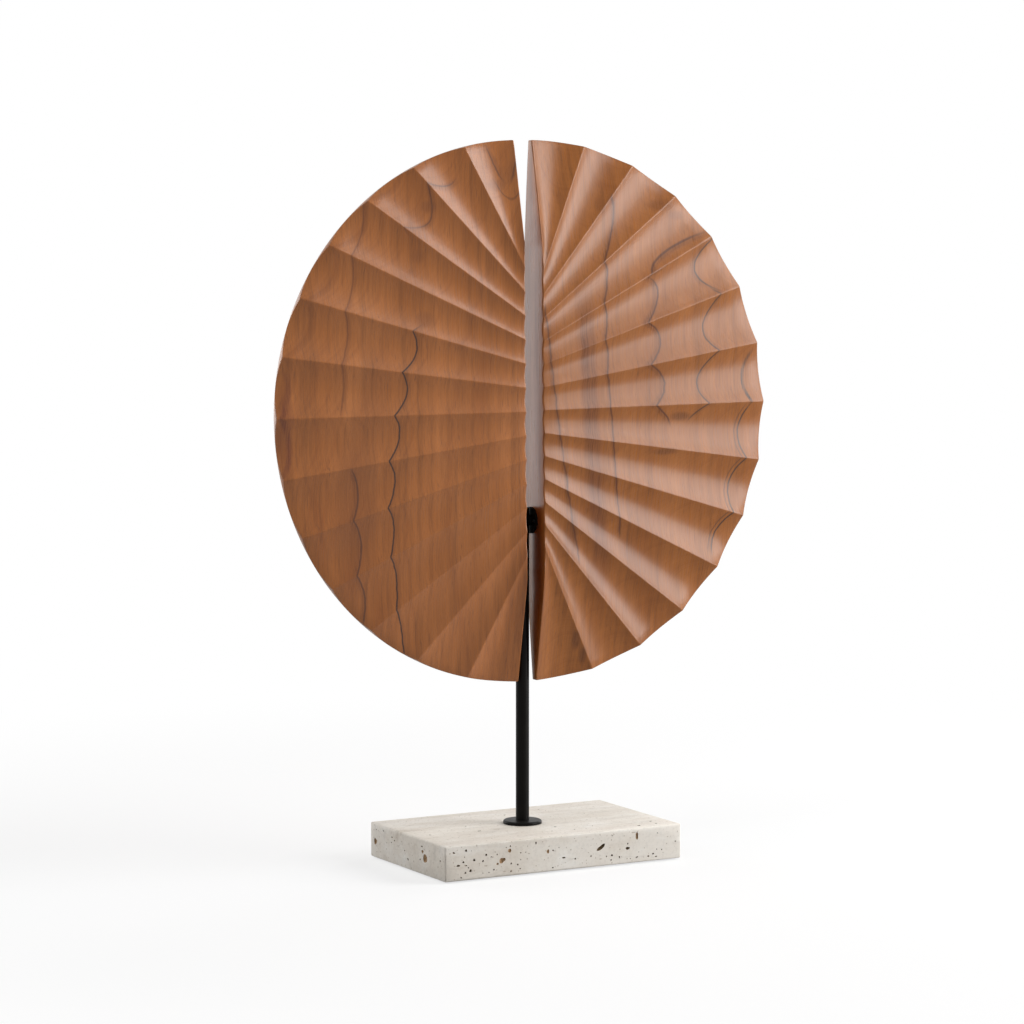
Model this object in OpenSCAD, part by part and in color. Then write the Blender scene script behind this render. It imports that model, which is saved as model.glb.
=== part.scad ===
// Pleated disc sculpture: two half-disc wood panels, carved with radial flutes
// like an open folding fan, held either side of a slim steel post that rises
// from a travertine slab.
// Axes: +Z up, -Y is the fluted front, +X is the right panel's side.
// Origin: the middle of the slab, on the surface the sculpture stands on.

/* [Disc] */
// Radius of each half disc
disc_r = 201; // [160:1:240]
// Open height between the post's flange and the disc's lowest edge
disc_clear = 105.6; // [60:0.1:160]
// Distance from the post's axis to each panel's inner face
gap = 7.4; // [7.2:0.1:14]
// Distance from the post's axis to the centre of the left panel's rim circle
left_centre = 2.1; // [0:0.1:8]
// Distance from the post's axis to the centre of the right panel's rim circle
right_centre = 9.7; // [2:0.1:14]
// How far the panels' middle plane lies in front of the post's axis
panel_forward = 2.5; // [0:0.1:3]
// Backward lean of the panels about the mounting stud, in degrees
lean = 1; // [0:0.1:4]

/* [Fluting] */
// Number of flutes in each panel
flutes = 14; // [8:2:18]
// Height above the disc's centre where the outermost ridge leaves the inner edge
fan_reach = 125; // [90:1:145]
// Depth of a flute at the rim
flute_depth = 5.1; // [2:0.1:8]
// Thickness of wood left at the rim under the deepest point of a flute
rim_edge = 0.9; // [0.6:0.1:4]
// How far the ridges rise forward from the rim to the inner edge
front_rise = 15.8; // [10:0.1:24]
// How far the smooth back bulges out from the rim to the middle
back_rise = 11.5; // [9:0.1:20]

/* [Stone base] */
// Width of the slab along X
slab_w = 200; // [150:1:260]
// Depth of the slab along Y
slab_d = 120; // [90:1:170]
// Thickness of the slab
slab_t = 26; // [22:0.5:40]
// How far the post's axis lies to the left of the slab's middle
post_shift = 2.6; // [0:0.1:8]
// Width of the bevel along every edge of the slab
slab_bevel = 1.2; // [0.5:0.1:3]
// Diameter of the hole that the post's thread passes through
slab_hole_d = 10; // [9:0.1:12]
// Diameter of the counterbore under the slab
recess_d = 26; // [24:0.5:34]
// Depth of the counterbore under the slab
recess_h = 13; // [12:0.5:16]

/* [Post] */
// Diameter of the post
post_d = 10; // [8.6:0.1:10.4]
// Diameter of the thread turned on the post's lower end
thread_d = 8; // [6:0.1:8.4]
// Diameter of the flange at the foot of the post
flange_d = 29; // [24:0.5:40]
// Thickness of the flange
flange_t = 2.6; // [2:0.1:5]
// How far the mounting stud lies below the disc's centre
mount_drop = 81; // [40:1:110]

/* [Fasteners] */
// Diameter of the stud that crosses the post
stud_d = 5; // [4:0.1:5.4]
// Depth that the stud reaches into each panel
stud_grip = 24; // [18:1:40]
// Diameter of the round plate against each panel
plate_d = 20; // [18:0.5:30]
// Thickness of the round plate
plate_t = 1.8; // [1:0.1:2]
// Outer diameter of the spacers between the post and the plates
spacer_d = 8; // [6:0.1:8.2]
// Outer diameter of the threaded inserts in the panels
insert_d = 8; // [7.4:0.1:8.4]
// Length of the threaded inserts
insert_l = 14; // [8:1:16]
// Diameter of the locating pins
pin_d = 3; // [2:0.1:3.4]
// Depth that the locating pins reach into each panel
pin_grip = 9; // [5:0.5:14]
// Distance of each locating pin from the stud's axis
pin_offset = 7.2; // [6.5:0.1:7.6]
// Thickness of the flat washer
washer_t = 1.6; // [1:0.1:2]
// Thickness of the spring washer
spring_t = 2; // [1.2:0.1:2.4]
// Height of the hexagon nut
nut_h = 6.5; // [4:0.1:6.8]
// Distance across the nut's flats
nut_flats = 13; // [12:0.1:15]

/* [Felt pads] */
// Diameter of a felt pad
pad_d = 18; // [10:0.5:28]
// Thickness of a felt pad
pad_t = 1.2; // [0.8:0.1:4]
// Distance of each pad's centre from the slab's edges
pad_inset = 18; // [16:0.5:26]

/* [Hidden] */

$fn = 64;
fit = 0.1;              // radial clearance round a stud, pin, insert or thread
cut = 1;                // overshoot of every cutting tool
across = 8;             // facet strips across one flute
along = 4;              // facet strips from the inner edge to the rim

slab_z = pad_t;
slab_top = slab_z + slab_t;
flange_top = slab_top + flange_t;
disc_z = flange_top + disc_clear + disc_r;
mount_z = disc_z - mount_drop;
post_top = mount_z + plate_d / 2;
recess_top = slab_z + recess_h;
nut_z = recess_top - washer_t - spring_t - nut_h;
thread_end = nut_z - 1;

rim_t = flute_depth + rim_edge;
flute_angle = 180 / flutes;
ridge_step = 2 * fan_reach / flutes;
rim_width = 2 * disc_r * sin(flute_angle / 2);

function mix(a, b, t) = a + (b - a) * t;
function cross_size(a, b) = abs(a[0] * b[1] - a[1] * b[0]);

// ---- Panel surface ----
// A point on a panel is found by two coordinates: u counts the flutes from the top
// to the bottom of the disc, and t runs along a flute from the inner edge to the rim.

// Rim angle from the top at u; the first and last flutes end at the panel's corners.
function rim_angle(u, corner) =
    u < 1 ? mix(corner, flute_angle, u)
    : u > flutes - 1 ? mix(180 - flute_angle, 180 - corner, u - flutes + 1)
    : u * flute_angle;

// Inner and outer end of the straight line that lies at u, seen from the front.
function inner_end(u) = [gap, fan_reach - u * ridge_step];
function rim_end(u, centre) =
    let (a = rim_angle(u, asin((gap - centre) / disc_r)))
    [u <= 0 || u >= flutes ? gap : centre + disc_r * sin(a), disc_r * cos(a)];
function plan_point(u, t, centre) = mix(inner_end(u), rim_end(u, centre), t);

// Width of flute k at t, square to its own direction.
function flute_width(k, t, centre) =
    let (a = plan_point(k, t, centre),
         b = plan_point(k + 1, t, centre),
         run = rim_end(k + 0.5, centre) - inner_end(k + 0.5))
    cross_size(b - a, run) / norm(run);

// How deep the round bottom of the flute lies below its two ridges at u.
function scoop(u, t, centre) =
    let (k = min(floor(u), flutes - 1), s = u - k)
    4 * s * (1 - s) * flute_depth * min(1, flute_width(k, t, centre) / rim_width);

// Front surface: ridges rise in straight lines from the rim to the inner edge.
function front_point(u, t, centre) =
    let (p = plan_point(u, t, centre))
    [p[0], -rim_t / 2 - front_rise * (1 - t) + scoop(u, t, centre), p[1]];

// Back surface: a smooth shallow dome.
function back_point(u, t, centre) =
    let (p = plan_point(u, t, centre),
         r = norm([p[0] - centre, p[1]]) / disc_r)
    [p[0], rim_t / 2 + back_rise * (1 - min(1, r * r)), p[1]];

// The carved half disc as a closed loft: front, back, rim and flat inner face.
module carved_half(centre) {
    rows = flutes * across;
    side = (rows + 1) * (along + 1);
    grid = [for (i = [0:rows]) for (j = [0:along]) [i / across, j / along]];
    front = [for (g = grid) front_point(g[0], g[1], centre)];
    back = [for (g = grid) back_point(g[0], g[1], centre)];
    function at(i, j) = i * (along + 1) + j;
    skin = [for (i = [0:rows - 1]) for (j = [0:along - 1]) each [
        [at(i, j), at(i, j + 1), at(i + 1, j + 1)],
        [at(i, j), at(i + 1, j + 1), at(i + 1, j)]]];
    rim = [for (i = [0:rows - 1]) each [
        [at(i, along), at(i, along) + side, at(i + 1, along) + side],
        [at(i, along), at(i + 1, along) + side, at(i + 1, along)]]];
    edge = concat([for (j = [along:-1:1]) at(0, j)], [for (i = [0:rows]) at(i, 0)],
        [for (j = [1:along]) at(rows, j)]);
    inner = concat(edge, [for (n = [len(edge) - 1:-1:0]) edge[n] + side]);
    polyhedron(
        points = concat(front, back),
        faces = concat(
            skin,
            [for (f = skin) [f[2] + side, f[1] + side, f[0] + side]],
            rim,
            [inner]),
        convexity = 10);
}

// A round bar along +X from the panel's inner face.
module bar_x(d, from, to) {
    translate([from, 0, 0]) rotate([0, 90, 0]) cylinder(d = d, h = to - from);
}

// The holes that the stud, its insert and the pins take up in one panel.
module panel_holes() {
    bar_x(stud_d + 2 * fit, gap - cut, gap + stud_grip + 2);
    bar_x(insert_d + 2 * fit, gap - cut, gap + insert_l + fit);
    for (y = [-pin_offset, pin_offset])
        translate([0, y, 0]) bar_x(pin_d + 2 * fit, gap - cut, gap + pin_grip + 1);
}

// One panel, leaning about the stud. side is 1 for the right panel and -1 for the left.
module panel(side, centre) {
    translate([0, 0, mount_z])
    mirror([side < 0 ? 1 : 0, 0, 0])
    difference() {
        rotate([-lean, 0, 0])
            translate([0, -panel_forward, mount_drop])
            carved_half(centre);
        panel_holes();
    }
}

// Moves its children from the origin to the post's axis.
module on_post() {
    translate([-post_shift, 0, 0]) children();
}

// Repeats its child on the right and the left of the post.
module both_sides() {
    translate([0, 0, mount_z]) {
        children();
        mirror([1, 0, 0]) children();
    }
}

module left_panel() {
    color("#a06a44") on_post() panel(-1, left_centre);
}

module right_panel() {
    color("#a8714a") on_post() panel(1, right_centre);
}

// Steel post: plain bar, cross hole for the stud, and a thread turned on its foot.
module post() {
    color("#1c1b1a") on_post() difference() {
        union() {
            translate([0, 0, flange_top]) cylinder(d = post_d, h = post_top - flange_top - 1);
            translate([0, 0, post_top - 1]) cylinder(d1 = post_d, d2 = post_d - 2, h = 1);
            translate([0, 0, thread_end + 1]) cylinder(d = thread_d, h = flange_top - thread_end - 1);
            translate([0, 0, thread_end]) cylinder(d1 = thread_d - 2, d2 = thread_d, h = 1);
        }
        translate([0, 0, mount_z]) bar_x(stud_d + 2 * fit, -post_d, post_d);
    }
}

// Spacer between the post and a plate; its inner end is coped to the round post.
module spacer() {
    difference() {
        bar_x(spacer_d, 0, gap - plate_t);
        bar_x(stud_d + 2 * fit, -cut, gap);
        translate([0, 0, -spacer_d]) cylinder(d = post_d + 2 * fit, h = 2 * spacer_d);
        translate([-post_d, -spacer_d, -spacer_d]) cube([post_d, 2 * spacer_d, 2 * spacer_d]);
    }
}

module spacers() {
    color("#1c1b1a") on_post() both_sides() spacer();
}

// Round plate that lies flat against a panel's inner face.
module plate() {
    difference() {
        bar_x(plate_d, gap - plate_t, gap);
        bar_x(stud_d + 2 * fit, gap - plate_t - cut, gap + cut);
        for (y = [-pin_offset, pin_offset])
            translate([0, y, 0]) bar_x(pin_d + 2 * fit, gap - plate_t - cut, gap + cut);
    }
}

module mount_plates() {
    color("#1c1b1a") on_post() both_sides() plate();
}

module cross_stud() {
    color("#8f9194") on_post() translate([0, 0, mount_z])
        bar_x(stud_d, -gap - stud_grip, gap + stud_grip);
}

module insert() {
    difference() {
        bar_x(insert_d, gap, gap + insert_l);
        bar_x(stud_d + 2 * fit, gap - cut, gap + insert_l + cut);
    }
}

module panel_inserts() {
    color("#b08d4a") on_post() both_sides() insert();
}

module pin_pair() {
    for (y = [-pin_offset, pin_offset])
        translate([0, y, 0]) bar_x(pin_d, gap - plate_t, gap + pin_grip);
}

module locating_pins() {
    color("#8f9194") on_post() both_sides() pin_pair();
}

// Turned flange with a rounded top edge.
module post_flange() {
    r = flange_d / 2;
    soft = flange_t / 2;
    color("#1c1b1a") on_post() translate([0, 0, slab_top]) rotate_extrude() difference() {
        union() {
            square([r - soft, flange_t]);
            square([r, soft]);
            translate([r - soft, soft]) circle(r = soft);
        }
        translate([-cut, -cut]) square([thread_d / 2 + fit + cut, flange_t + 2 * cut]);
    }
}

// Rectangle with bevelled corners, centred on the origin.
module bevelled(w, d) {
    x = w / 2;
    y = d / 2;
    b = slab_bevel;
    polygon([[b - x, -y], [x - b, -y], [x, b - y], [x, y - b],
        [x - b, y], [b - x, y], [-x, y - b], [-x, b - y]]);
}

module stone_slab() {
    color("#d9d0c4") difference() {
        translate([0, 0, slab_z + slab_t / 2]) intersection() {
            translate([0, 0, -slab_t]) linear_extrude(2 * slab_t) bevelled(slab_w, slab_d);
            rotate([90, 0, 0]) translate([0, 0, -slab_d])
                linear_extrude(2 * slab_d) bevelled(slab_w, slab_t);
            rotate([90, 0, 90]) translate([0, 0, -slab_w])
                linear_extrude(2 * slab_w) bevelled(slab_d, slab_t);
        }
        on_post() translate([0, 0, slab_z]) cylinder(d = slab_hole_d, h = slab_t + cut);
        on_post() translate([0, 0, slab_z - cut]) cylinder(d = recess_d, h = recess_h + cut);
    }
}

// A flat ring on the post's thread.
module ring(d, bore, z, h) {
    translate([0, 0, z]) difference() {
        cylinder(d = d, h = h);
        translate([0, 0, -cut]) cylinder(d = bore, h = h + 2 * cut);
    }
}

module flat_washer() {
    color("#b9bbbe") on_post() ring(recess_d - 3, thread_d + 4 * fit, recess_top - washer_t, washer_t);
}

// Spring washer: a split ring, pressed flat.
module spring_washer() {
    z = recess_top - washer_t - spring_t;
    color("#9b9da1") on_post() difference() {
        ring(nut_flats, thread_d + 4 * fit, z, spring_t);
        translate([0, -0.4, z - cut]) cube([nut_flats, 0.8, spring_t + 2 * cut]);
    }
}

module hex_nut() {
    color("#b9bbbe") on_post() translate([0, 0, nut_z]) difference() {
        intersection() {
            cylinder(d = nut_flats / cos(30), h = nut_h, $fn = 6);
            union() {
                cylinder(d1 = nut_flats, d2 = nut_flats + 4, h = 1);
                translate([0, 0, 1]) cylinder(d = nut_flats + 4, h = nut_h - 1);
            }
        }
        translate([0, 0, -cut]) cylinder(d = thread_d + fit, h = nut_h + 2 * cut);
    }
}

module felt_pads() {
    x = slab_w / 2 - pad_inset;
    y = slab_d / 2 - pad_inset;
    color("#3a3632") for (p = [[-x, -y], [x, -y], [-x, y], [x, y]])
        translate([p[0], p[1], 0]) cylinder(d = pad_d, h = pad_t);
}

left_panel();
right_panel();
post();
spacers();
mount_plates();
cross_stud();
panel_inserts();
locating_pins();
post_flange();
stone_slab();
flat_washer();
spring_washer();
hex_nut();
felt_pads();
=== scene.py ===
# Looks for the pleated wooden disc sculpture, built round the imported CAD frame.
import math
import random

import bmesh
import bpy
from mathutils import Matrix, Vector


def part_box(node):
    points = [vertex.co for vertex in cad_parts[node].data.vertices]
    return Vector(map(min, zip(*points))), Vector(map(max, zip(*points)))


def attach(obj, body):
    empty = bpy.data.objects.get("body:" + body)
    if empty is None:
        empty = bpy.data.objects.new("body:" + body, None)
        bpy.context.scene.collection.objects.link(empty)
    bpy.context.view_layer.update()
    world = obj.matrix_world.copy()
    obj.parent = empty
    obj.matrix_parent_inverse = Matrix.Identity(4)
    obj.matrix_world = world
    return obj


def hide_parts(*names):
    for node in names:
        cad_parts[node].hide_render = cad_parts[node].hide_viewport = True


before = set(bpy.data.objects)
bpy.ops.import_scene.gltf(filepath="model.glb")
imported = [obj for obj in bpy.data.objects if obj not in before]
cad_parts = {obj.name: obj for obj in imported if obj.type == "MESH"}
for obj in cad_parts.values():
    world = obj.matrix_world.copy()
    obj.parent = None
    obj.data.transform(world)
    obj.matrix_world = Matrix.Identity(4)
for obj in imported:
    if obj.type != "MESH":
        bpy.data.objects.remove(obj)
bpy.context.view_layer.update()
MM = 0.001


# ---- Sizes taken from the frame, in metres ----

def middle(node):
    """Centre of a CAD node's box."""
    lo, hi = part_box(node)
    return (Vector(lo) + Vector(hi)) / 2


def extent(node):
    """Size of a CAD node's box."""
    lo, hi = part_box(node)
    return Vector(hi) - Vector(lo)


MOUNT_Z = middle("cross_stud").z
MOUNT_DROP = 81 * MM
DISC_Z = MOUNT_Z + MOUNT_DROP
POST_X = middle("post").x
LEFT_GAP = POST_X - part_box("left_panel")[1][0]
RIGHT_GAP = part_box("right_panel")[0][0] - POST_X

# The panels' own form, as the CAD source has it apart from the ridges' ends
DISC_R = 201 * MM
LEFT_CENTRE = 2.1 * MM
RIGHT_CENTRE = 9.7 * MM
FORWARD = 2.5 * MM
LEAN = math.radians(1.0)
FLUTES = 14
FLUTE_DEPTH = 5.1 * MM
RIM_T = 6.0 * MM
FRONT_RISE = 15.8 * MM
BACK_RISE = 11.5 * MM
# Heights over the disc's middle between which the ridges start on the inner face
LEFT_HUB = (124.3 * MM, -122.4 * MM)
RIGHT_HUB = (120.5 * MM, -117.0 * MM)

# Softness of the sanded edges
ARRIS_R = 1.0 * MM
BACK_ARRIS_R = 1.2 * MM
RIM_R = 0.4 * MM
CORNER_R = 1.2 * MM
RIDGE_SOFT = 0.16 * MM
LINE_POINTS = 26
SMOOTH_ANGLE = 34

# The slab's bevel, the post's hole and the recess under it
SLAB_BEVEL = 1.1 * MM
HOLE_R = 5 * MM
RECESS_R = 13 * MM

# Camera: degrees left of the front, distance and height in metres, tilt and trim in degrees
CAMERA_AZIMUTH = 29.15
CAMERA_AWAY = 2.641
CAMERA_HEIGHT = 0.502
CAMERA_TILT = 5.2
CAMERA_TRIM = 0.17
CAMERA_LENS = 125.12

# Studio: the lamps' distance, the floor's radius and where it fades to plain white
LAMP_AWAY = 2.0
FLOOR_R = 12.0
FLOOR_FADE = (0.35, 0.9)
FLOOR_TONE = 0.3
FLOOR_GLOW = 0.68
WORLD_FILL = 0.1


# ---- Small helpers ----

def mix(a, b, t):
    return a + (b - a) * t


def rounding(d, r):
    """How far an edge of radius r falls back at the distance d from its outer plane."""
    if d >= r:
        return 0.0
    return r - math.sqrt(max(0.0, r * r - (r - d) ** 2))


def new_object(name, mesh, material):
    obj = bpy.data.objects.new(name, mesh)
    bpy.context.scene.collection.objects.link(obj)
    mesh.materials.append(material)
    return obj


def shade_smooth(mesh, degrees):
    """Smooth shading that keeps every edge sharper than the angle."""
    for p in mesh.polygons:
        p.use_smooth = True
    mesh.set_sharp_from_angle(angle=math.radians(degrees))


def piece(obj, nodes):
    """obj stands for the CAD nodes and rides on the one rigid body."""
    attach(obj, "root")
    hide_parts(*nodes)
    return obj


# ---- Fluted panels ----

class Half:
    """One half disc: side is 1 on the right and -1 on the left. The hub is where the fan of
    ridges starts and ends on the inner face; sway moves the ridges a little along the rim."""

    def __init__(self, side, gap, centre, hub, sway):
        self.side = side
        self.gap = gap
        self.centre = centre
        self.hub = hub
        self.sway = sway
        self.corner = math.asin((gap - centre) / DISC_R)

    def rim_angle(self, u):
        if u < 1:
            return mix(self.corner, self.ridge_angle(1), u)
        if u > FLUTES - 1:
            return mix(self.ridge_angle(FLUTES - 1), math.pi - self.corner, u - FLUTES + 1)
        k = int(u)
        return mix(self.ridge_angle(k), self.ridge_angle(k + 1), u - k)

    def ridge_angle(self, k):
        return (k + self.sway(k)) * math.pi / FLUTES

    def inner_end(self, u):
        return self.gap, mix(*self.hub, u / FLUTES)

    def rim_end(self, u, soft=0.0):
        a = self.rim_angle(u)
        x = self.centre + DISC_R * math.sin(a)
        if u <= 0 or u >= FLUTES:
            x = self.gap
        z = DISC_R * math.cos(a)
        return x, z - math.copysign(rounding(x - self.gap, soft), z) if soft else z

    def plan(self, u, t, soft=0.0):
        a = self.inner_end(u)
        b = self.rim_end(u, soft)
        return mix(a[0], b[0], t), mix(a[1], b[1], t)

    def flute_width(self, k, t):
        a = self.plan(k, t)
        b = self.plan(k + 1, t)
        start = self.inner_end(k + 0.5)
        end = self.rim_end(k + 0.5)
        run = (end[0] - start[0], end[1] - start[1])
        across = (b[0] - a[0]) * run[1] - (b[1] - a[1]) * run[0]
        return abs(across) / math.hypot(*run)

    def scoop(self, u, t):
        """Depth of the flute below its ridges, with the ridges' tips sanded off."""
        k = min(int(u), FLUTES - 1)
        s = u - k
        rim_width = 2 * DISC_R * math.sin(math.pi / FLUTES / 2)
        deep = FLUTE_DEPTH * min(1.0, self.flute_width(k, t) / rim_width)
        drop = 4 * s * (1 - s) * deep
        outer = (k == 0 and s < 0.5) or (k == FLUTES - 1 and s > 0.5)
        if outer:
            return drop
        return math.sqrt(drop * drop + RIDGE_SOFT * RIDGE_SOFT)

    def front(self, u, t):
        return -RIM_T / 2 - FRONT_RISE * (1 - t) + self.scoop(u, t)

    def back(self, x, z):
        r = math.hypot(x - self.centre, z) / DISC_R
        return RIM_T / 2 + BACK_RISE * (1 - min(1.0, r * r))

    def place(self, x, y, z):
        """From the disc's own frame to the row frame, leaning about the stud."""
        y -= FORWARD
        z += MOUNT_DROP
        c = math.cos(LEAN)
        s = math.sin(LEAN)
        return Vector((POST_X + self.side * x, y * c + z * s, MOUNT_Z - y * s + z * c))


def left_sway(k):
    """How far ridge k lies from even steps round the rim, in steps."""
    return 0.06 - 0.0115 * k


def right_sway(k):
    return -0.045 - 0.055 * math.exp(-((k - 4) / 1.8) ** 2)


def flute_stations():
    """Values of u where a line is drawn: close together at the ridges and corners."""
    inside = [0.012, 0.03, 0.06, 0.1, 0.16, 0.24, 0.33, 0.42]
    inside += [0.5] + [1 - s for s in reversed(inside)]
    near_corner = [0.004, 0.012, 0.025, 0.045, 0.07, 0.11, 0.16, 0.24, 0.33, 0.42, 0.5]
    first = near_corner + [s for s in inside if s > 0.5]
    last = [1 - s for s in reversed(first)]
    us = [0.0] + first
    for k in range(1, FLUTES - 1):
        us += [float(k)] + [k + s for s in inside]
    return us + [FLUTES - 1.0] + [FLUTES - 1 + s for s in last] + [float(FLUTES)]


def line_stations(half, u):
    """Values of t along one line: close together on the arris and at the rim's edge."""
    a = half.inner_end(u)
    b = half.rim_end(u, CORNER_R)
    span = max(b[0] - a[0], 1e-6)
    length = math.hypot(b[0] - a[0], b[1] - a[1])
    ts = [0.0]
    for j, part in enumerate((0.06, 0.22, 0.5, 0.78, 1.0)):
        ts.append(min(part * ARRIS_R / span, (j + 1) / LINE_POINTS))
    even = LINE_POINTS - 8
    top = 1 - RIM_R / length
    ts += [mix(ts[5], top, (j + 1) / even) for j in range(even)]
    return ts + [1 - RIM_R * 0.3 / length, 1.0]


def half_loop(half, u):
    """One closed line round the panel at u: front, rim, back and inner face."""
    points = []
    ts = line_stations(half, u)
    length = math.dist(half.inner_end(u), half.rim_end(u, CORNER_R))
    for t in ts:
        x, z = half.plan(u, t, CORNER_R)
        y = half.front(u, t) + rounding(x - half.gap, ARRIS_R)
        y += rounding((1 - t) * length, RIM_R)
        points.append((x, y, z))
    for t in reversed(ts):
        x, z = half.plan(u, t, CORNER_R)
        y = half.back(x, z) - rounding(x - half.gap, BACK_ARRIS_R)
        y -= rounding((1 - t) * length, RIM_R)
        points.append((x, y, z))
    x, y, z = points[-1]
    points.append((x, y - 0.3 * MM, z))
    x, y, z = points[0]
    points.append((x, y + 0.3 * MM, z))
    return points


def panel_mesh(name, half):
    """Closed skin of one half disc, as loops joined side by side and capped."""
    bm = bmesh.new()
    loops = []
    for u in flute_stations():
        loops.append([bm.verts.new(half.place(*p)) for p in half_loop(half, u)])
    n = len(loops[0])
    for a, b in zip(loops, loops[1:]):
        for i in range(n):
            j = (i + 1) % n
            bm.faces.new((a[i], a[j], b[j], b[i]))
    bm.faces.new(loops[0])
    bm.faces.new(loops[-1][::-1])
    bmesh.ops.recalc_face_normals(bm, faces=bm.faces)
    mesh = bpy.data.meshes.new(name)
    bm.to_mesh(mesh)
    bm.free()
    return mesh


def fluted_panel(name, half, material, node):
    mesh = panel_mesh(name, half)
    obj = new_object(name, mesh, material)
    shade_smooth(mesh, SMOOTH_ANGLE)
    return piece(obj, [node])


# ---- Node helpers ----

class Graph:
    """Short ways to add and link shader nodes."""

    def __init__(self, name):
        self.material = bpy.data.materials.new(name)
        self.material.use_nodes = True
        self.tree = self.material.node_tree
        self.tree.nodes.clear()
        self.out = self.tree.nodes.new("ShaderNodeOutputMaterial")

    def node(self, kind, **settings):
        made = self.tree.nodes.new("ShaderNode" + kind)
        for key, value in settings.items():
            setattr(made, key, value)
        return made

    def put(self, value, socket):
        """A number or colour is set on the socket; an output is linked to it."""
        if isinstance(value, bpy.types.NodeSocket):
            self.tree.links.new(value, socket)
        elif isinstance(value, (tuple, list)) and len(value) == 3 and socket.type == "RGBA":
            socket.default_value = (*value, 1.0)
        else:
            socket.default_value = value

    def math(self, operation, a, b=0.0, c=0.0):
        made = self.node("Math", operation=operation)
        for value, socket in zip((a, b, c), made.inputs):
            self.put(value, socket)
        return made.outputs[0]

    def ramp(self, value, stops):
        made = self.node("ValToRGB")
        bar = made.color_ramp
        bar.interpolation = "EASE"
        while len(bar.elements) < len(stops):
            bar.elements.new(0.5)
        for element, (place, tint) in zip(bar.elements, stops):
            element.position = place
            element.color = (*tint, 1.0) if isinstance(tint, tuple) else (tint,) * 3 + (1.0,)
        self.put(value, made.inputs[0])
        return made.outputs[0]

    def range(self, value, low, high, to_low=0.0, to_high=1.0):
        made = self.node("MapRange", interpolation_type="SMOOTHSTEP")
        for item, socket in zip((value, low, high, to_low, to_high), made.inputs):
            self.put(item, socket)
        return made.outputs[0]

    def blend(self, amount, a, b, mode="MIX"):
        made = self.node("Mix", data_type="RGBA", blend_type=mode)
        for value, socket in zip((amount, a, b), (made.inputs[0], made.inputs[6], made.inputs[7])):
            self.put(value, socket)
        return made.outputs[2]

    def noise(self, place, scale, detail=3.0, rough=0.5, distort=0.0):
        made = self.node("TexNoise")
        self.put(place, made.inputs["Vector"])
        self.put(scale, made.inputs["Scale"])
        self.put(detail, made.inputs["Detail"])
        self.put(rough, made.inputs["Roughness"])
        self.put(distort, made.inputs["Distortion"])
        return made.outputs["Fac"]

    def stretched(self, place, scale):
        made = self.node("Mapping")
        self.put(place, made.inputs["Vector"])
        made.inputs["Scale"].default_value = scale
        return made.outputs[0]

    def object_place(self):
        return self.node("TexCoord").outputs["Object"]

    def bump(self, height, strength, distance):
        made = self.node("Bump")
        self.put(strength, made.inputs["Strength"])
        self.put(distance, made.inputs["Distance"])
        self.put(height, made.inputs["Height"])
        return made.outputs[0]

    def finish(self, color, roughness, normal, **constants):
        """Principled surface; the constants go straight onto its sockets."""
        made = self.node("BsdfPrincipled")
        self.put(color, made.inputs["Base Color"])
        self.put(roughness, made.inputs["Roughness"])
        self.put(normal, made.inputs["Normal"])
        for key, value in constants.items():
            made.inputs[key.replace("_", " ")].default_value = value
        self.tree.links.new(made.outputs[0], self.out.inputs[0])
        return self.material


# ---- Wood ----

# Growth layers run through each panel as gently curved sheets. A sheet is where
# x = c + Z (z1 + zz Z) + Y (y1 + yz Z), with x in mm from the post's axis, Z the height from the
# disc's middle in hundreds of mm and Y the depth in mm. The row is c, z1, zz, y1, yz.
LEFT_LAYER = (-100.4, 25.6, 13.1, 2.93, 1.39)
RIGHT_LAYER = (73.1, -3, 2.4, 0.79, 0.67)
ARC_LAYER = (152.4, 52.3, -25.3, -5, 0.6)
HUB_LAYER = (29.1, -13.1, 1.3, 0.87, 0)
# These run on through the wood and show on its back too
THROUGH_LAYERS = (LEFT_LAYER, RIGHT_LAYER, HUB_LAYER)

# Depth is counted from this far in front of the disc's mid plane, in mm
SHEET_FRONT = 6.0
# Front and back of the depths where the fluted face ends and lines fade out, in mm
FACE_DEPTHS = (8.3, 9.3)
# Least change of sheet depth along the surface that a line's width is divided by
LEAST_PACE = 0.8
# Half widths in mm above which a line is broken up by the fibre, and counts as a band
BROKEN_WIDTH = 1.5
BAND_WIDTH = 5.0

INK = (0.020, 0.009, 0.007)
BROWN = (0.110, 0.034, 0.013)
UMBER = (0.060, 0.021, 0.012)
SLATE = (0.046, 0.028, 0.022)
RUST = (0.120, 0.028, 0.012)
CHESTNUT = (0.125, 0.040, 0.016)

# Sheet, the heights it shows between in mm, and its lines: offset, half width in mm, strength, tint
LEFT_LINES = [
    (LEFT_LAYER, (-175, 64), [(0, 0.9, 1.0, INK), (0.9, 2.4, 0.3, BROWN)]),
    ((-146.7, -7.2, -4, 1.84, 0), (-150, -38), [(0, 1.0, 0.75, UMBER), (-1.2, 3.0, 0.35, BROWN)]),
    ((-153.7, 3.4, 3.4, 0.86, 0.7), (4, 155), [(0, 0.9, 0.5, BROWN), (0.8, 3.0, 0.3, BROWN)]),
    ((-204.9, -2.2, -6.8, 1.86, 0), (-42, 34), [(0, 3.2, 0.6, RUST)]),
    ((-119.8, 17.2, 0, 8.44, 0), (135, 171), [(0, 0.9, 0.65, UMBER), (0.8, 3.5, 0.4, BROWN)]),
    ((-115.5, 58.1, 0, -3.91, 0), (172, 195), [(0, 0.9, 0.65, UMBER), (0.8, 3.0, 0.35, BROWN)]),
    ((-55.2, 19.4, 0, -3.4, 0), (155, 170), [(0, 0.9, 0.5, UMBER)]),
]
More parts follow.
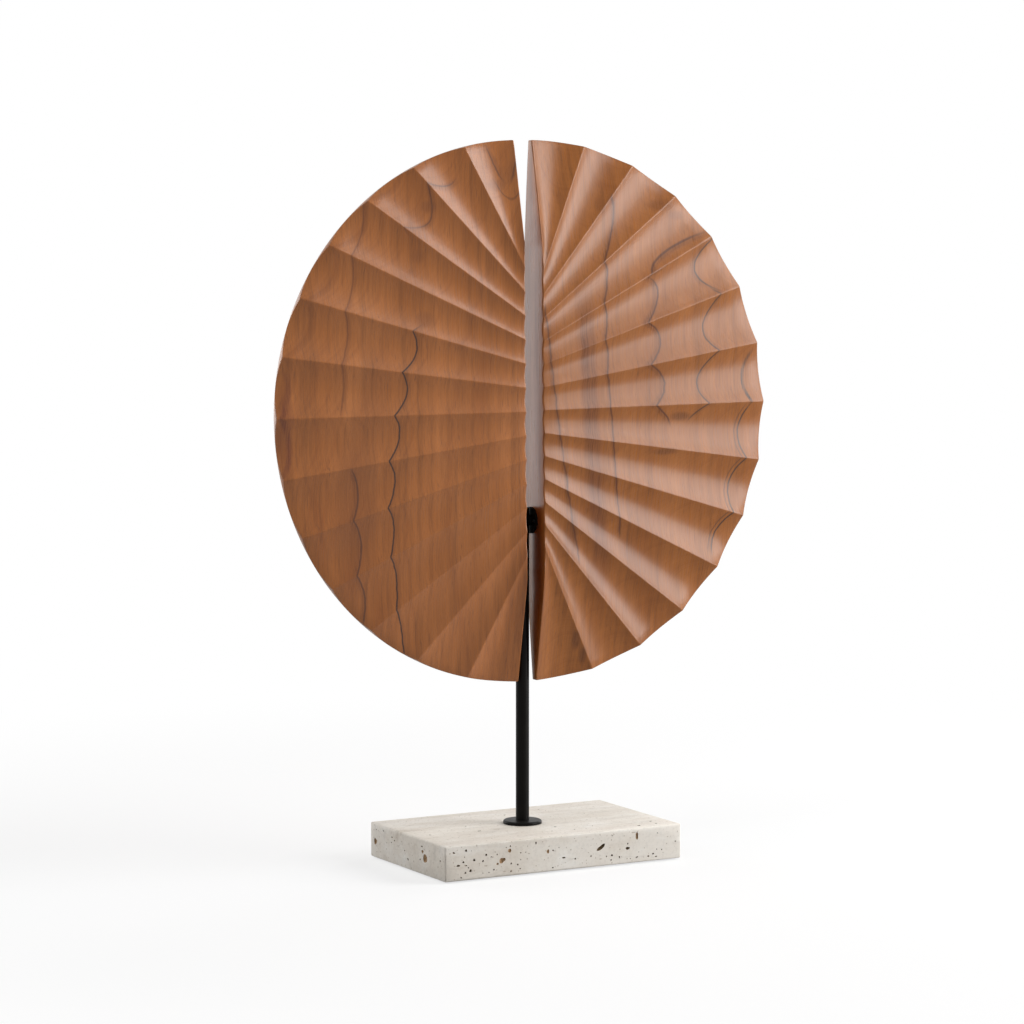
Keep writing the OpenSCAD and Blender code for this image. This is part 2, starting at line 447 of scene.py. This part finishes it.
RIGHT_LINES = [
    (RIGHT_LAYER, (-95, 160), [(0, 1.1, 0.8, UMBER), (-0.6, 3.0, 0.45, BROWN)]),
    (HUB_LAYER, (-113, 79), [(0, 1.1, 0.7, UMBER), (-0.6, 3.0, 0.4, BROWN)]),
    ((122.4, -12.3, 0.6, 2.62, 0), (-12, 97), [(0, 1.1, 0.85, UMBER), (-1.4, 3.8, 0.5, BROWN)]),
    ((420.8, -739.1, 416.7, -2.86, 0), (99, 131), [(0, 1.4, 0.8, UMBER), (1.6, 4.0, 0.5, BROWN)]),
    ((152.4, 52.3, -25.3, -5.04, 0.59), (-9, 88), [(0, 1.0, 0.9, SLATE), (0.9, 2.8, 0.3, BROWN)]),
    ((606.1, -822.8, 380.5, -2.49, 0), (90, 128), [(0, 1.1, 0.9, SLATE), (-1.5, 3.0, 0.35, BROWN)]),
    ((203.3, 18.9, 0, -2.2, 0), (2, 40), [(0, 2.2, 0.95, SLATE)]),
    ((205, 7.1, -16.6, -2.4, 0), (-112, 0), [(0, 1.1, 0.9, SLATE), (-3.4, 1.0, 0.5, SLATE)]),
    ((49.8, -6.2, 2.5, 0, 0), (-116, 84), [(0, 11.0, 0.75, CHESTNUT)]),
]

# Soft dark patches: x and z of the middle, half width, half height in mm, strength, tint
LEFT_PATCHES = [
    (-86, 70, 9, 7, 0.35, BROWN), (-25, 168, 9, 5, 0.3, UMBER), (-80, 152, 7, 5, 0.3, BROWN),
    (-90, 116, 6, 6, 0.25, BROWN), (-196, -8, 7, 38, 0.4, RUST), (-142, -62, 20, 60, 0.3, BROWN),
    (-128, 20, 14, 50, 0.15, BROWN),
]
RIGHT_PATCHES = [
    (133, -7, 11, 4, 0.5, UMBER), (118, -33, 13, 3, 0.45, UMBER), (118, 153, 12, 5, 0.35, BROWN),
    (134, 145, 9, 4, 0.3, BROWN), (63, 153, 5, 8, 0.3, BROWN), (28, 157, 4, 9, 0.25, BROWN),
    (41, -172, 4, 9, 0.45, UMBER), (48, -184, 4, 8, 0.4, UMBER), (34, -90, 4, 24, 0.35, UMBER),
]


def disc_place(g, place):
    """x in mm from the post's axis, the depth in mm, and the height in hundreds of mm."""
    split = g.node("SeparateXYZ")
    g.put(place, split.inputs[0])
    x, y, z = split.outputs
    slow = g.noise(g.stretched(place, (12, 12, 14)), 1.0, 2.0, 0.45)
    fine = g.noise(g.stretched(place, (60, 60, 160)), 1.0, 2.0, 0.5)
    lean = math.sin(LEAN)
    front = (FORWARD - MOUNT_DROP * lean) / MM + SHEET_FRONT
    z = g.math("MULTIPLY_ADD", z, 10.0, -DISC_Z * 10)
    y = g.math("MULTIPLY_ADD", y, 1 / MM, front)
    y = g.math("ADD", y, g.math("MULTIPLY", z, -100 * lean))
    x = g.math("MULTIPLY_ADD", x, 1 / MM, -POST_X / MM)
    x = g.math("ADD", x, g.math("MULTIPLY_ADD", slow, 3.0, -1.5))
    x = g.math("ADD", x, g.math("MULTIPLY_ADD", fine, 1.6, -0.8))
    return x, y, z


def sheet_depth(g, spot, sheet):
    """How far a place lies beyond a growth sheet along x, in mm."""
    x, y, z = spot
    c, z1, zz, y1, yz = sheet
    rise = g.math("MULTIPLY_ADD", g.math("MULTIPLY_ADD", z, zz, z1), z, c)
    slope = g.math("MULTIPLY_ADD", z, yz, y1)
    return g.math("SUBTRACT", x, g.math("MULTIPLY_ADD", y, slope, rise))


def sheet_crossing(g, spot, sheet):
    """How fast sheet_depth changes along the wood's surface, so that lines keep their width."""
    y, z = spot[1:]
    z1, zz, y1, yz = sheet[1:]
    steep = g.node("CombineXYZ")
    steep.inputs[0].default_value = 1.0
    g.put(g.math("MULTIPLY_ADD", z, -yz, -y1), steep.inputs[1])
    rise = g.math("MULTIPLY_ADD", y, -yz, g.math("MULTIPLY_ADD", z, -2 * zz, -z1))
    g.put(g.math("MULTIPLY", rise, 0.01), steep.inputs[2])
    inward = g.node("VectorMath", operation="PROJECT")
    g.put(steep.outputs[0], inward.inputs[0])
    g.put(g.node("NewGeometry").outputs["Normal"], inward.inputs[1])
    along = g.node("VectorMath", operation="SUBTRACT")
    g.put(steep.outputs[0], along.inputs[0])
    g.put(inward.outputs[0], along.inputs[1])
    pace = g.node("VectorMath", operation="LENGTH")
    g.put(along.outputs[0], pace.inputs[0])
    return g.math("MAXIMUM", pace.outputs["Value"], LEAST_PACE)


def within(g, value, low, high, soft):
    """1 between low and high, fading to 0 over the soft distance."""
    start = g.range(value, low - soft, low + soft)
    end = g.range(value, high - soft, high + soft, 1.0, 0.0)
    return g.math("MULTIPLY", start, end)


def front_only(g, spot):
    """1 in the fluted front of the wood and 0 towards its back."""
    return g.range(spot[1], *FACE_DEPTHS, 1.0, 0.0)


def growth_lines(g, color, spot, fibre, row):
    """The dark lines of one growth sheet, broken up a little by the fibre."""
    sheet, heights, lines = row
    soft = 0.05 if lines[0][1] < BAND_WIDTH else 0.3
    shown = within(g, spot[2], heights[0] / 100, heights[1] / 100, soft)
    if sheet not in THROUGH_LAYERS:
        shown = g.math("MULTIPLY", shown, front_only(g, spot))
    away = g.math("DIVIDE", sheet_depth(g, spot, sheet), sheet_crossing(g, spot, sheet))
    for offset, width, strength, tint in lines:
        line = g.math("ABSOLUTE", g.math("SUBTRACT", away, offset))
        line = g.range(line, width * 0.2, width, strength, 0.0)
        if width > BROKEN_WIDTH:
            line = g.math("MULTIPLY", line, g.range(fibre, 0.38, 0.6, 0.3, 1.15))
        color = g.blend(g.math("MULTIPLY", line, shown), color, tint)
    return color


def patch(g, color, spot, fibre, row):
    """One soft, streaky dark patch."""
    x, z, wide, high, strength, tint = row
    across = g.math("MULTIPLY_ADD", spot[0], 1 / wide, -x / wide)
    up = g.math("MULTIPLY_ADD", spot[2], 100 / high, -z / high)
    far = g.math("ADD", g.math("MULTIPLY", across, across), g.math("MULTIPLY", up, up))
    amount = g.range(far, 0.0, 1.3, strength, 0.0)
    amount = g.math("MULTIPLY", amount, g.range(fibre, 0.36, 0.6, 0.4, 1.2))
    return g.blend(g.math("MULTIPLY", amount, front_only(g, spot)), color, tint)


def node_vector(g, value, scale):
    """A place on a line, for noise that only depends on one value."""
    made = g.node("CombineXYZ")
    g.put(g.math("MULTIPLY", value, scale), made.inputs[0])
    return made.outputs[0]


def season_bands(g, color, spot, sheet, scale, shade):
    """Soft light and dark bands that follow one growth sheet."""
    band = g.noise(node_vector(g, sheet_depth(g, spot, sheet), scale), 1.0, 3.0, 0.6)
    tint = g.ramp(band, [(0.34, (shade, shade * 0.97, shade * 0.95)), (0.5, 1.0), (0.68, 1.05)])
    return g.blend(1.0, color, tint, "MULTIPLY")


def wood(name, stops, bands, lines, patches, sheen):
    """Satin hardwood: seasons and dark lines on curved growth sheets, fibres and pores along Z."""
    g = Graph(name)
    place = g.object_place()
    spot = disc_place(g, place)
    slow = g.noise(g.stretched(place, (26, 26, 6)), 1.0, 3.0, 0.55)
    color = g.ramp(slow, stops)
    for sheet, scale, shade in bands:
        color = season_bands(g, color, spot, sheet, scale, shade)
    fibre = g.noise(g.stretched(place, (950, 140, 12)), 1.0, 4.0, 0.65)
    tint = g.ramp(fibre, [(0.3, 0.70), (0.5, 1.0), (0.7, 1.14)])
    color = g.blend(0.8, color, tint, "MULTIPLY")
    streak = g.noise(g.stretched(place, (210, 26, 4)), 1.0, 3.0, 0.6)
    tint = g.ramp(streak, [(0.32, 0.74), (0.5, 1.0), (0.68, 1.1)])
    color = g.blend(0.55, color, tint, "MULTIPLY")
    for row in patches:
        color = patch(g, color, spot, fibre, row)
    for row in lines:
        color = growth_lines(g, color, spot, fibre, row)
    pore = g.noise(g.stretched(place, (1500, 500, 45)), 1.0, 1.0, 0.5)
    pore = g.range(pore, 0.66, 0.74)
    color = g.blend(g.math("MULTIPLY", pore, 0.4), color, (0.08, 0.030, 0.014))
    shine = g.ramp(fibre, [(0.3, 0.32), (0.7, 0.26)])
    height = g.math("SUBTRACT", g.math("MULTIPLY", fibre, 0.4), pore)
    normal = g.bump(height, 0.10, 0.00012)
    return g.finish(color, shine, normal, Specular_IOR_Level=sheen)


def wood_materials():
    tones = [(0.3, (0.268, 0.084, 0.018)), (0.46, (0.320, 0.107, 0.025)),
             (0.56, (0.344, 0.118, 0.030)), (0.7, (0.382, 0.136, 0.038))]
    bands = [(LEFT_LAYER, 0.045, 0.86), (LEFT_LAYER, 0.2, 0.93)]
    left = wood("satin_wood_left", tones, bands, LEFT_LINES, LEFT_PATCHES, 0.38)
    tones = [(0.3, (0.242, 0.079, 0.017)), (0.46, (0.286, 0.098, 0.023)),
             (0.56, (0.308, 0.108, 0.027)), (0.7, (0.344, 0.124, 0.033))]
    bands = [(RIGHT_LAYER, 0.07, 0.88), (ARC_LAYER, 0.06, 0.92), (ARC_LAYER, 0.25, 0.94)]
    right = wood("satin_wood_right", tones, bands, RIGHT_LINES, RIGHT_PATCHES, 0.24)
    return left, right


# ---- Stone ----

# Pits in the slab's front face: across, up, width, height in mm, and the turn in degrees
FRONT_PITS = [
    (-89.2, 11.4, 3.2, 1.4, 0), (-85.0, 13.7, 1.8, 1.6, 0), (-76.2, 14.5, 2.3, 1.9, 20),
    (-82.9, 10.9, 1.2, 1.0, 0), (-80.9, 9.2, 1.1, 0.9, 0), (-79.3, 6.8, 2.2, 1.9, 30),
    (-83.4, 5.6, 1.4, 1.3, 0), (-69.0, 13.1, 1.5, 1.4, 0), (-66.3, 17.4, 1.9, 1.6, 15),
    (-45.4, 9.0, 1.5, 1.4, 0), (-46.1, 22.0, 1.2, 1.0, 0), (-37.5, 16.3, 1.0, 0.9, 0),
    (-37.5, 11.2, 0.9, 0.9, 0), (-45.6, 3.4, 1.1, 1.0, 0), (-64.0, 4.1, 1.1, 1.0, 0),
    (-59.8, 5.9, 1.3, 1.1, 0), (-87.0, 2.4, 1.1, 1.0, 0), (-24.7, 22.4, 1.5, 1.7, 0),
    (-10.5, 2.8, 1.3, 1.2, 0), (8.6, 7.6, 1.3, 1.2, 0), (22.0, 8.3, 1.5, 1.3, 0),
    (30.6, 14.1, 6.2, 3.0, 32), (39.3, 3.9, 1.4, 1.3, 0), (40.0, 7.4, 1.9, 1.4, 0),
    (46.5, 5.4, 1.4, 1.3, 0), (53.7, 11.4, 2.9, 2.4, 0), (53.7, 14.9, 1.4, 1.3, 0),
    (61.6, 4.0, 1.8, 1.4, 20), (75.7, 5.3, 2.1, 1.3, 20), (78.4, 3.0, 1.5, 1.1, 0),
    (78.9, 8.5, 1.1, 1.0, 0), (83.2, 7.8, 1.1, 1.0, 0), (95.1, 13.0, 1.0, 0.9, 0),
]
# Shallow hollows with a rust-brown lining, on the front face and on the left side
FRONT_STAINS = [
    (-52.8, 12.2, 4.6, 4.0, 25), (-56.9, 9.9, 2.0, 1.6, 0), (-46.8, 18.7, 2.2, 3.2, 0),
    (-14.6, 15.2, 1.9, 2.6, 0), (61.6, 20.0, 2.8, 4.6, 0),
]
SIDE_STAINS = [(51.9, 12.3, 4.6, 6.0, 20), (-28.6, 12.6, 5.0, 6.4, -15), (-24.5, 17.0, 2.6, 2.4, 0)]
SIDE_PITS = [
    (20.5, 17.9, 1.9, 1.0, 0), (-1.3, 7.5, 3.0, 1.3, 30), (-23.6, 20.7, 2.0, 1.2, 0),
    (-52.3, 14.7, 2.4, 1.2, 0),
]
# Pits in the top: to the right, towards the back, their width and depth in mm
TOP_PITS = [
    (-47.0, -14.0, 3.2, 1.4, 20), (2.0, 36.0, 2.2, 1.2, 0), (16.0, 28.0, 1.3, 1.1, 0),
    (68.0, -52.0, 3.0, 1.8, 10), (84.0, -50.5, 2.8, 1.6, 0), (36.0, 44.0, 1.6, 1.0, 0),
]


def travertine(name, shade=1.0):
    """Cream stone with cloudy layers, fine specks and a honed grain."""
    g = Graph(name)
    place = g.object_place()
    layers = g.noise(g.stretched(place, (9, 42, 34)), 1.0, 5.0, 0.6, 0.6)
    cloud = g.noise(g.stretched(place, (38, 55, 60)), 1.0, 5.0, 0.7)
    tone = g.math("ADD", g.math("MULTIPLY", layers, 0.6), g.math("MULTIPLY", cloud, 0.4))
    color = g.ramp(tone, [(0.32, (0.570, 0.500, 0.420)), (0.45, (0.700, 0.642, 0.566)),
                          (0.55, (0.755, 0.706, 0.638)), (0.68, (0.815, 0.782, 0.730))])
    vein = g.noise(g.stretched(place, (14, 130, 110)), 1.0, 4.0, 0.6, 0.8)
    color = g.blend(0.5, color, g.ramp(vein, [(0.32, 0.80), (0.44, 1.0), (0.7, 1.03)]), "MULTIPLY")
    speck = g.noise(g.stretched(place, (420, 420, 420)), 1.0, 2.0, 0.5)
    color = g.blend(0.3, color, g.ramp(speck, [(0.3, 0.8), (0.5, 1.0), (0.7, 1.06)]), "MULTIPLY")
    dot = g.range(g.noise(g.stretched(place, (520, 520, 520)), 1.0, 0.0), 0.74, 0.79)
    color = g.blend(g.math("MULTIPLY", dot, 0.5), color, (0.25, 0.17, 0.10))
    # A shade below 1 gives a darker copy of the stone: painted shade for the insides of the hole
    # and the pits.
    if shade < 1:
        color = g.blend(1.0, color, (shade, shade * 0.93, shade * 0.82), "MULTIPLY")
    grain = g.noise(g.stretched(place, (1400, 1400, 1400)), 1.0, 2.0, 0.5)
    normal = g.bump(grain, 0.12, 0.0002)
    return g.finish(color, g.ramp(speck, [(0.3, 0.62), (0.7, 0.5)]), normal, Specular_IOR_Level=0.3)


def pit_lining(name, dark, light):
    g = Graph(name)
    place = g.object_place()
    crust = g.noise(place, 900.0, 4.0, 0.6)
    color = g.ramp(crust, [(0.35, dark), (0.65, light)])
    return g.finish(color, 0.85, g.bump(crust, 0.5, 0.0003), Specular_IOR_Level=0.15)


def blob(bm, centre, size, axis, turn, slot, rng):
    """An uneven lump to be cut out of the slab. Sizes and the centre are in mm."""
    fine = 3 if max(size) > 2.0 else 2
    made = bmesh.ops.create_icosphere(bm, subdivisions=fine, radius=0.5)["verts"]
    phase = [rng.uniform(0, math.tau) for _ in range(3)]
    spin = Matrix.Rotation(math.radians(turn), 3, axis)
    for v in made:
        d = v.co * 2
        swell = 1 + 0.15 * math.sin(3.1 * d.x + phase[0]) + 0.13 * math.sin(3.7 * d.z + phase[1])
        swell += 0.1 * math.sin(4.3 * d.y + phase[2])
        scaled = Vector([v.co[i] * size[i] * swell * MM for i in range(3)])
        v.co = Vector(centre) * MM + spin @ scaled
    for face in {f for v in made for f in v.link_faces}:
        face.material_index = slot


def scattered(rng, count, across, up, taken, centre=0.0):
    """Places for small pits that keep clear of each other and of the taken ones."""
    made = []
    while len(made) < count:
        spot = (centre + rng.uniform(-across, across), rng.uniform(*up))
        if all(math.dist(spot, other[:2]) > 2.6 + other[2] / 2 for other in taken + made):
            w = 0.7 + 1.1 * rng.random() ** 2.5
            made.append((*spot, w * rng.uniform(1.0, 1.6), w, rng.uniform(-30, 30)))
    return made


def pits_mesh():
    """Every pit of the slab as one cutter, in the slab's own place."""
    rng = random.Random(11)
    lo, hi = [corner * 1000 for corner in map(Vector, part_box("stone_slab"))]
    bm = bmesh.new()

    def front(rows, y, deep, slot):
        for x, z, w, h, turn in rows:
            blob(bm, (x, y, lo.z + z), (w, deep * min(w, h), h), "Y", -turn, slot, rng)

    def side(rows, x, deep, slot):
        for y, z, w, h, turn in rows:
            blob(bm, (x, y, lo.z + z), (deep * min(w, h), w, h), "X", turn, slot, rng)

    def top(rows, slot):
        for x, y, w, d, turn in rows:
            blob(bm, (x, y, hi.z), (w, d, 1.2 * min(w, d)), "Z", turn, slot, rng)

    front(FRONT_PITS, lo.y, 1.2, 1)
    front(FRONT_STAINS, lo.y, 0.5, 2)
    known = FRONT_PITS + FRONT_STAINS
    cluster = scattered(rng, 10, 28, (3, 23), known, -66)
    front(cluster, lo.y, 1.2, 1)
    front(scattered(rng, 10, 96, (3, 23), known + cluster), lo.y, 1.2, 1)
    side(SIDE_PITS, lo.x, 1.4, 1)
    side(SIDE_STAINS, lo.x, 0.35, 2)
    side(scattered(rng, 8, 55, (3, 23), SIDE_PITS + SIDE_STAINS), lo.x, 1.3, 1)
    back = scattered(rng, 5, 90, (5, 21), [])
    back = [(x, z, w * 2, h * 1.7, turn) for x, z, w, h, turn in back]
    front(back, hi.y, 1.3, 1)
    front(scattered(rng, 34, 96, (3, 23), back), hi.y, 1.3, 1)
    side(scattered(rng, 18, 55, (3, 23), []), hi.x, 1.3, 1)
    top(TOP_PITS, 1)
    bench = [(POST_X * 1000, 0, 36)]
    rows = scattered(rng, 16, 56, (-56, 56), TOP_PITS + bench)
    top([(x * 1.6, y, w, d, t) for x, y, w, d, t in rows], 1)
    mesh = bpy.data.meshes.new("slab_pits")
    bm.to_mesh(mesh)
    bm.free()
    return mesh


def lathe(bm, outline, segments, x):
    """Closed solid of revolution about the vertical line at x. The outline is (radius, height)."""
    rings = []
    for r, z in outline:
        spots = [math.tau * k / segments for k in range(segments)]
        rings.append([bm.verts.new((x + r * math.cos(a), r * math.sin(a), z)) for a in spots])
    for low, high in zip(rings, rings[1:]):
        for k in range(segments):
            j = (k + 1) % segments
            bm.faces.new((low[k], low[j], high[j], high[k]))
    bm.faces.new(rings[0][::-1])
    bm.faces.new(rings[-1])


def post_hole_mesh():
    """The post's hole through the slab and the counterbore under it."""
    lo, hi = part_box("stone_slab")
    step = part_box("flat_washer")[1][2]
    past = 2 * MM
    outline = [(RECESS_R, lo[2] - past), (RECESS_R, step), (HOLE_R, step), (HOLE_R, hi[2] + past)]
    bm = bmesh.new()
    lathe(bm, outline, 64, POST_X)
    bmesh.ops.recalc_face_normals(bm, faces=bm.faces)
    mesh = bpy.data.meshes.new("slab_hole")
    bm.to_mesh(mesh)
    bm.free()
    return mesh


def carve(obj, cutter):
    """Cuts the cutter out of obj for good; cut faces take the cutter's materials."""
    cut = obj.modifiers.new("cut", "BOOLEAN")
    cut.operation = "DIFFERENCE"
    cut.solver = "EXACT"
    cut.material_mode = "TRANSFER"
    cut.object = cutter
    graph = bpy.context.evaluated_depsgraph_get()
    mesh = bpy.data.meshes.new_from_object(obj.evaluated_get(graph))
    obj.modifiers.clear()
    obj.data = mesh
    bpy.data.objects.remove(cutter)


def slab_piece():
    """Honed slab with crisp, slightly worn edges, open pits and the drilled hole."""
    stone = travertine("travertine")
    bm = bmesh.new()
    bmesh.ops.create_cube(bm, size=1.0, matrix=Matrix.Translation(middle("stone_slab"))
                          @ Matrix.Diagonal((*extent("stone_slab"), 1.0)))
    edges = bm.edges[:]
    bmesh.ops.bevel(bm, geom=edges, offset=SLAB_BEVEL, segments=3, profile=0.5, affect="EDGES")
    mesh = bpy.data.meshes.new("pitted_slab")
    bm.to_mesh(mesh)
    bm.free()
    obj = new_object("pitted_slab", mesh, stone)
    # The hole's wall gets a darker copy of the stone: painted shade inside the hole.
    carve(obj, new_object("slab_hole", post_hole_mesh(), travertine("hole_shade_travertine", 0.85)))
    # The cutter's first slot is a copy of the stone at 0.6 brightness: painted shade for the pits'
    # insides.
    pits = new_object("slab_pits", pits_mesh(), travertine("pit_shade_travertine", 0.6))
    # Slot 1 lines every pit in dark brown: the stone's brown, painted darker as shade in the
    # hollows.
    pits.data.materials.append(pit_lining("brown_pit_shade", (0.050, 0.032, 0.014), (0.21, 0.150, 0.085)))
    pits.data.materials.append(pit_lining("pit_rust", (0.20, 0.110, 0.050), (0.47, 0.320, 0.185)))
    carve(obj, pits)
    shade_smooth(obj.data, SMOOTH_ANGLE)
    return piece(obj, ["stone_slab"])


# ---- Metal, brass and felt ----

def coated_steel():
    g = Graph("matte_black_coat")
    place = g.object_place()
    grain = g.noise(place, 2600.0, 2.0, 0.5)
    cloud = g.noise(place, 60.0, 2.0, 0.5)
    color = g.ramp(cloud, [(0.3, (0.0035, 0.0031, 0.0027)), (0.7, (0.0060, 0.0054, 0.0047))])
    return g.finish(color, g.ramp(cloud, [(0.3, 0.33), (0.7, 0.41)]), g.bump(grain, 0.15, 0.00005),
                    Specular_IOR_Level=0.06)


def plated_steel():
    g = Graph("plated_steel")
    place = g.object_place()
    line = g.noise(g.stretched(place, (300, 3000, 3000)), 1.0, 2.0, 0.5)
    color = g.ramp(line, [(0.3, (0.42, 0.42, 0.43)), (0.7, (0.55, 0.55, 0.56))])
    return g.finish(color, g.ramp(line, [(0.3, 0.36), (0.7, 0.25)]), g.bump(line, 0.1, 0.00003),
                    Metallic=1.0)


def brass():
    g = Graph("turned_brass")
    place = g.object_place()
    line = g.noise(g.stretched(place, (3000, 200, 200)), 1.0, 2.0, 0.5)
    color = g.ramp(line, [(0.3, (0.60, 0.40, 0.14)), (0.7, (0.75, 0.53, 0.22))])
    return g.finish(color, g.ramp(line, [(0.3, 0.34), (0.7, 0.24)]), g.bump(line, 0.1, 0.00003),
                    Metallic=1.0)


def felt():
    g = Graph("grey_felt")
    place = g.object_place()
    fuzz = g.noise(place, 900.0, 4.0, 0.7)
    color = g.ramp(fuzz, [(0.3, (0.03, 0.028, 0.026)), (0.7, (0.085, 0.08, 0.075))])
    return g.finish(color, 0.95, g.bump(fuzz, 0.6, 0.0004), Sheen_Weight=0.3)


def dress_cad_nodes():
    black = coated_steel()
    steel = plated_steel()
    finishes = {
        "post": black, "post_flange": black, "mount_plates": black, "spacers": black,
        "cross_stud": steel, "locating_pins": steel, "flat_washer": steel,
        "spring_washer": steel, "hex_nut": steel, "panel_inserts": brass(), "felt_pads": felt(),
    }
    for node, material in finishes.items():
        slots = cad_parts[node].material_slots
        for slot in slots:
            slot.material = material


# ---- Floor, lights and camera ----

def white_world():
    world = bpy.data.worlds.new("white_studio")
    bpy.context.scene.world = world
    world.use_nodes = True
    nodes = world.node_tree.nodes
    links = world.node_tree.links
    path = nodes.new("ShaderNodeLightPath")
    seen = nodes.new("ShaderNodeMath")
    seen.operation = "MAXIMUM"
    links.new(path.outputs["Is Camera Ray"], seen.inputs[0])
    links.new(path.outputs["Is Glossy Ray"], seen.inputs[1])
    also = nodes.new("ShaderNodeMath")
    also.operation = "MAXIMUM"
    links.new(seen.outputs[0], also.inputs[0])
    links.new(path.outputs["Is Transmission Ray"], also.inputs[1])
    level = nodes.new("ShaderNodeMapRange")
    links.new(also.outputs[0], level.inputs[0])
    level.inputs[3].default_value = WORLD_FILL
    level.inputs[4].default_value = 1.0
    links.new(level.outputs[0], nodes["Background"].inputs["Strength"])
    nodes["Background"].inputs["Color"].default_value = (1, 1, 1, 1)


def floor_material():
    """White floor: takes the shadow near the object and fades to plain white."""
    g = Graph("white_floor")
    place = g.object_place()
    far = g.node("VectorMath", operation="LENGTH")
    g.put(place, far.inputs[0])
    fade = g.range(far.outputs["Value"], *FLOOR_FADE)
    path = g.node("LightPath")
    seen = g.math("MAXIMUM", path.outputs["Is Camera Ray"], path.outputs["Is Glossy Ray"])
    matte = g.node("BsdfDiffuse")
    matte.inputs["Color"].default_value = (FLOOR_TONE, FLOOR_TONE, FLOOR_TONE, 1)
    glow = g.node("Emission")
    glow.inputs["Strength"].default_value = FLOOR_GLOW
    both = g.node("AddShader")
    g.put(matte.outputs[0], both.inputs[0])
    g.put(glow.outputs[0], both.inputs[1])
    lit = g.node("MixShader")
    g.put(seen, lit.inputs[0])
    g.put(matte.outputs[0], lit.inputs[1])
    g.put(both.outputs[0], lit.inputs[2])
    white = g.node("Emission")
    plain = g.node("MixShader")
    g.put(g.math("MULTIPLY", fade, seen), plain.inputs[0])
    g.put(lit.outputs[0], plain.inputs[1])
    g.put(white.outputs[0], plain.inputs[2])
    g.tree.links.new(plain.outputs[0], g.out.inputs[0])
    return g.material


def floor():
    bm = bmesh.new()
    bmesh.ops.create_circle(bm, cap_ends=True, segments=96, radius=FLOOR_R)
    mesh = bpy.data.meshes.new("studio_floor")
    bm.to_mesh(mesh)
    bm.free()
    obj = new_object("studio_floor", mesh, floor_material())


def softbox(name, azimuth, elevation, size, power, aim):
    """Area lamp; azimuth 0 is in front and 90 on the right. Degrees, metres and watts."""
    data = bpy.data.lights.new(name, "AREA")
    data.shape = "RECTANGLE"
    data.size, data.size_y = size
    data.energy = power
    lamp = bpy.data.objects.new(name, data)
    bpy.context.scene.collection.objects.link(lamp)
    a = math.radians(azimuth)
    e = math.radians(elevation)
    way = Vector((math.sin(a) * math.cos(e), -math.cos(a) * math.cos(e), math.sin(e)))
    lamp.location = aim + way * LAMP_AWAY
    lamp.rotation_mode = "QUATERNION"
    lamp.rotation_quaternion = way.to_track_quat("Z", "Y")


def lights():
    aim = Vector((POST_X, 0, DISC_Z))
    softbox("key", 55, 4, (1.0, 1.0), 31.5, aim)
    softbox("high", 58, 28, (1.3, 0.8), 22.5, aim)
    softbox("rim", 114, 15, (0.8, 1.0), 13.5, aim)
    softbox("left", -80, 45, (0.9, 0.9), 9.5, aim)
    softbox("low_left", -80, 15, (0.9, 0.9), 6.5, aim)
    softbox("top", 20, 88, (1.2, 1.2), 6.0, aim)
    softbox("back_left", -150, 8, (1.2, 1.2), 16.0, aim)


def camera():
    """Stands a little left of the front, about 2.6 m away, like the photograph's."""
    data = bpy.data.cameras.new("camera")
    data.sensor_width = 36.0
    data.lens = CAMERA_LENS
    data.dof.use_dof = False
    data.clip_start = 0.1
    data.clip_end = 50.0
    cam = bpy.data.objects.new("camera", data)
    bpy.context.scene.collection.objects.link(cam)
    turn = math.radians(CAMERA_AZIMUTH)
    x = POST_X - math.sin(turn) * CAMERA_AWAY
    cam.location = (x, -math.cos(turn) * CAMERA_AWAY, CAMERA_HEIGHT)
    cam.rotation_mode = "XYZ"
    aim = -math.radians(CAMERA_AZIMUTH - CAMERA_TRIM)
    cam.rotation_euler = (math.radians(90 - CAMERA_TILT), 0.0, aim)
    bpy.context.scene.camera = cam


def picture():
    view = bpy.context.scene.view_settings
    view.view_transform = "Standard"


# ---- Build ----

left_wood, right_wood = wood_materials()
left_half = Half(-1, LEFT_GAP, LEFT_CENTRE, LEFT_HUB, left_sway)
right_half = Half(1, RIGHT_GAP, RIGHT_CENTRE, RIGHT_HUB, right_sway)
fluted_panel("left_fluted_panel", left_half, left_wood, "left_panel")
fluted_panel("right_fluted_panel", right_half, right_wood, "right_panel")
slab_piece()
dress_cad_nodes()
white_world()
floor()
lights()
camera()
picture()
